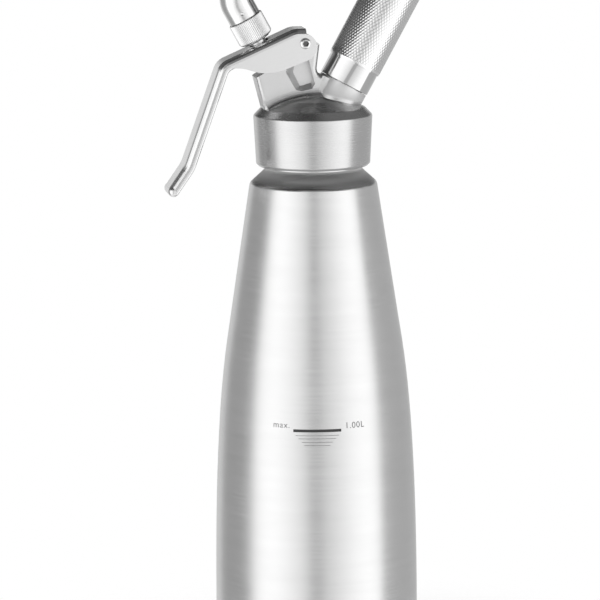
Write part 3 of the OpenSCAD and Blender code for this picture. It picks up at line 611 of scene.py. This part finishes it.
# The strokes are long along X and fine across it.
stroke_scale = (120.0, 3600.0, 4200.0)
long_lines = put(brushed, "VectorMath", given["Vector"], stroke_scale, operation="MULTIPLY")
strokes = put(brushed, "TexNoise", long_lines.outputs[0], named={"Scale": 1.0, "Detail": 3.0})
handled = put(brushed, "TexNoise", given["Vector"], named={"Scale": 70.0, "Detail": 4.0})
shade = product(brushed, between(brushed, strokes, 0.3, 0.7, 0.97, 1.03), given["Tone"])
brushed.links.new(put(brushed, "CombineColor", shade, shade, shade).outputs[0], out["Color"])
rough = product(
    brushed,
    between(brushed, strokes, 0.3, 0.7, 0.85, 1.15), given["Roughness"],
    between(brushed, handled, 0.35, 0.7, 0.9, 1.15),
)
brushed.links.new(rough, out["Roughness"])
brushed.links.new(raised(brushed, strokes.outputs[0], given["Bump"], fine_depth), out["Normal"])

plate_lean = math.radians(23.5)
material, tree = bare_material("polished_lever_sheet")
place = put(tree, "TexCoord").outputs["Object"]
along_plate = put(tree, "Mapping", place, (0, 0, 0), (0, plate_lean, 0))
look = use_group(tree, brushed, Vector=along_plate.outputs[0], Tone=0.74, Roughness=0.22, Bump=0.012)
steel_surface(tree, look["Color"], look["Roughness"], look["Normal"])
finish_node("lever", material)

# Painted shade darkens each screw's socket, close to the pin's axis and below the face of the screw's
# head.
pin_x, pin_z, socket_radius, face_out = -0.00491, 0.322453, 0.00158, 0.0110
material, tree = bare_material("polished_screw_steel")
place = put(tree, "TexCoord").outputs["Object"]
from_pin = put(tree, "VectorMath", place, (-pin_x, 0, -pin_z), operation="ADD")
parts = put(tree, "SeparateXYZ", from_pin.outputs[0]).outputs
flat = put(tree, "CombineXYZ", parts[0], 0, parts[2])
radius = put(tree, "VectorMath", flat.outputs[0], operation="LENGTH").outputs["Value"]
near = put(tree, "Math", radius, socket_radius, operation="LESS_THAN")
out_along = put(tree, "Math", parts[1], operation="ABSOLUTE")
inside = put(tree, "Math", out_along.outputs[0], face_out, operation="LESS_THAN")
painted_socket_shade = product(tree, near.outputs[0], inside.outputs[0])
# Painted shade: the socket's colour goes from 0.72 down to 0.12.
tone = put(tree, "MapRange", painted_socket_shade, 0, 1, 0.72, 0.12)
look = use_group(tree, cast, Vector=place, Tone=tone.outputs[0], Roughness=0.14, Bump=0.06)
steel_surface(tree, look["Color"], look["Roughness"], look["Normal"])
finish_node("lever_pin_screws", material)
finish_node("lever_pin_sleeve", material)


# ---- Spout ----------------------------------------------------------------------------------
# A polished elbow of steel tube, held to the stem by a knurled union nut, with the star nozzle screwed
# onto its upright end.

material, tree = bare_material("mirror_spout_steel")
place = put(tree, "TexCoord").outputs["Object"]
look = use_group(tree, cast, Vector=place, Tone=0.74, Roughness=0.19, Bump=0.02, Grain=900.0)
steel_surface(tree, look["Color"], look["Roughness"], look["Normal"])
finish_node("spout_tube", material)

# The nut's straight ribs get a painted highlight on their crests and painted shade in the grooves
# between them.
rib_count = 60.0
material, tree = bare_material("ribbed_nut_steel")
along = on_axis(tree, valve_lean)
parts = put(tree, "SeparateXYZ", along).outputs
around = put(tree, "Math", parts[1], parts[0], operation="ARCTAN2")
painted_rib_light = put(tree, "Math", product(tree, around.outputs[0], rib_count), operation="COSINE")
tone = between(tree, painted_rib_light, -1.0, 0.2, 0.6, 0.84)
look = use_group(tree, cast, Vector=along, Tone=tone, Roughness=0.34, Bump=0.1)
steel_surface(tree, look["Color"], look["Roughness"], look["Normal"])
finish_node("spout_nut", material)

nozzle_x = -0.037174
material, tree = bare_material("turned_nozzle_steel")
place = put(tree, "TexCoord").outputs["Object"]
centred = put(tree, "Mapping", place, (-nozzle_x, 0, 0)).outputs[0]
look = use_group(tree, turned, Vector=centred, Tone=0.7, Line_width=0.0002, Roughness=0.2, Bump=0.2)
steel_surface(tree, look["Color"], look["Roughness"], look["Normal"], anisotropic=0.4)
finish_node("nozzle_tip", material)


# ---- Charger holder -------------------------------------------------------------------------
# A turned steel sleeve with a closed end: a smooth polished band at its mouth, and a fine diamond knurl
# from there to its end, rolled in as two sets of grooves that cross at 30 degrees to either side of its
# axis.

# Where the sleeve starts along its axis, its length and radius. How the knurl is cut: its starts each
# way, their slant, the mesh's points from groove to groove, the depth, and the run-out at its ends. The
# two tiny rings on the axis have the radius pole until they are drawn together.
axis_low, length, grip_radius = 0.0319, 0.07808, 0.0134
pole = 0.00001
starts, slant, fineness, groove_depth, run_out = 54, math.radians(30), 8, 0.00009, 0.0006
rise = 2 * math.pi * grip_radius / starts / math.tan(slant)
knurl_low, knurl_high = 0.0113 + run_out, length - 0.0038


def rounded(path, steps):
    """A closed outline of (radius, height, fillet) with its corners rounded, as an array of points.
    Each corner becomes an arc about the fillet's centre, in steps of even angle from side to side."""
    points = []
    for i, (x, z, fillet) in enumerate(path):
        b = np.array([x, z])
        a, c = (np.array(path[(i + k) % len(path)][:2]) for k in (-1, 1))
        if fillet == 0:
            points.append(b)
            continue
        u, v = (a - b) / np.linalg.norm(a - b), (c - b) / np.linalg.norm(c - b)
        half = math.acos(float(np.clip(u @ v, -1, 1))) / 2
        centre = b + (u + v) / np.linalg.norm(u + v) * fillet / math.sin(half)
        p, q = b + u * fillet / math.tan(half) - centre, b + v * fillet / math.tan(half) - centre
        arc = math.pi - 2 * half
        w = np.linspace(0, 1, steps + 1)[:, None]
        points.extend(centre + (np.sin(arc * (1 - w)) * p + np.sin(arc * w) * q) / math.sin(arc))
    return np.array(points)


def spun(outline, columns, relief):
    """An outline of (radius, height) carried round Z, as a grid that closes both ways; relief lowers a
    point by its angle, height and radius."""
    a = np.linspace(0, 2 * np.pi, columns + 1)[:-1]
    r, z = outline[:, :1] + 0 * a, outline[:, 1:] + 0 * a
    r = r - relief(a[None, :] + 0 * r, z, r)
    faces = grid_faces(len(outline), columns, close_rows=True, close_columns=True)
    return np.stack([r * np.cos(a), r * np.sin(a), z], -1), faces


# The outline, from the mouth up the outside to the closed end and back down the inside.
rows = np.arange(knurl_low, knurl_high, rise / fineness)
mouth = rounded([
    (0.01056, 0, 0), (0.0124, 0, 0.0001), (0.0127, 0.0003, 0.0003), (0.0127, 0.0108, 0.0001),
    (0.0130, 0.0108, 0.0001), (grip_radius, 0.0113, 0.0002),
], 3)[:-1]
end_run = rounded([
    (grip_radius, knurl_high, 0), (grip_radius, length, 0.003), (pole, length, 0),
], 10)[1:]
inside = rounded([
    (pole, length - 0.0035, 0), (0.00935, length - 0.0035, 0.001), (0.00935, 0.0134, 0),
    (0.01006, 0.0124, 0), (0.01006, 0.0005, 0),
], 4)
outline = np.concatenate([mouth, np.stack([0 * rows + grip_radius, rows], -1), end_run, inside])


def diamond_knurl(a, z, r):
    """Two sets of shallow V grooves, as wide as the flats between them. Each runs round by one of its
    starts as it climbs by the rise, one set to the left and one to the right, and both fade out at the
    two ends. Only points at the grip's radius are lowered."""
    u, v = a * starts / (2 * np.pi), (z - knurl_low) / rise
    left, right = (np.clip(4 * np.abs(w - np.round(w)) - 1, 0, 1) for w in (u + v, u - v))
    fade = np.clip((z - knurl_low) / run_out, 0, 1) * np.clip((knurl_high - z) / run_out, 0, 1)
    return np.where(r > grip_radius - 0.00001, groove_depth * np.maximum(left, right) * fade, 0)


points, faces = spun(outline, starts * fineness, diamond_knurl)
points[..., 2] += axis_low
onto_charger = np.array(Matrix.Rotation(-charge_lean, 3, "Y"))
points_in_place = points.reshape(-1, 3) @ onto_charger.T + np.array(meet)
holder = new_mesh("charger_holder_knurled", points_in_place, faces)
# How deep a point lies in the knurl's grooves, from 0 to 1, for the painted shade that darkens the
# grooves.
painted_groove_shade = np.clip((grip_radius - np.hypot(points[..., 0], points[..., 1])) / groove_depth, 0, 1)
painted_groove_shade = np.where(points[..., 2] > axis_low + knurl_low, painted_groove_shade, 0)
painted_shade_attribute = holder.data.attributes.new("groove", "FLOAT", "POINT")
painted_shade_attribute.data.foreach_set("value", painted_groove_shade.astype(np.float32).ravel())
# The tiny rings are drawn together to poles, and sharp edges are kept crisp.
shell = bmesh.new()
shell.from_mesh(holder.data)
bmesh.ops.remove_doubles(shell, verts=shell.verts, dist=3 * pole)
bmesh.ops.recalc_face_normals(shell, faces=shell.faces)
crisp_from = math.radians(38)
for edge in shell.edges:
    edge.smooth = not edge.is_manifold or edge.calc_face_angle(0) < crisp_from
shell.to_mesh(holder.data)
shell.free()
# The band at the mouth is polished and darker; the knurl above it is satin.
band_end, satin_start = 0.0431, 0.0434
material, tree = bare_material("holder_steel")
along = on_axis(tree, charge_lean)
height = put(tree, "SeparateXYZ", along).outputs[2]
groove = put(tree, "Attribute", attribute_name="groove").outputs["Fac"]
# Painted shade: the deeper in a groove, the darker the steel's colour, from 0.84 down to 0.5.
shade = put(tree, "MapRange", groove, 0.3, 1.0, 0.84, 0.5)
band = put(tree, "MapRange", height, band_end, satin_start, 0.8, 1.0)
tone = product(tree, shade.outputs[0], band.outputs[0])
look = use_group(tree, turned, Vector=along, Tone=tone, Line_width=0.00018, Roughness=1.0, Bump=0.02)
grip = put(tree, "MapRange", height, band_end, satin_start, 0.07, 0.18)
rough = product(tree, look["Roughness"], grip.outputs[0])
steel_surface(tree, look["Color"], rough, look["Normal"])
holder.data.materials.append(material)
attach(holder, "holder")
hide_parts("charger_holder")


# ---- Gas charger and inlet valve ------------------------------------------------------------
# The steel charger inside the holder with its thin pierced cap, and the turned nipple, piercing pin and
# slotted nut of the inlet.

for name, steel, finish in (
    ("gas_charger", "zinc_plated_charger", {"tone": 0.6, "roughness": 0.3, "bump": 0.1}),
    ("charger_seal_cap", "thin_cap_steel", {"tone": 0.7, "roughness": 0.22}),
    ("charge_nipple", "threaded_nipple_steel", {"pitch": 0.0015, "low": 0.0335, "high": 0.0425}),
    ("piercing_pin", "piercing_pin_steel", {"tone": 0.7, "roughness": 0.16}),
    ("inlet_valve_nut", "inlet_nut_steel", {"tone": 0.62, "roughness": 0.24}),
):
    finish_node(name, lathe_material(steel, charge_lean, **finish))
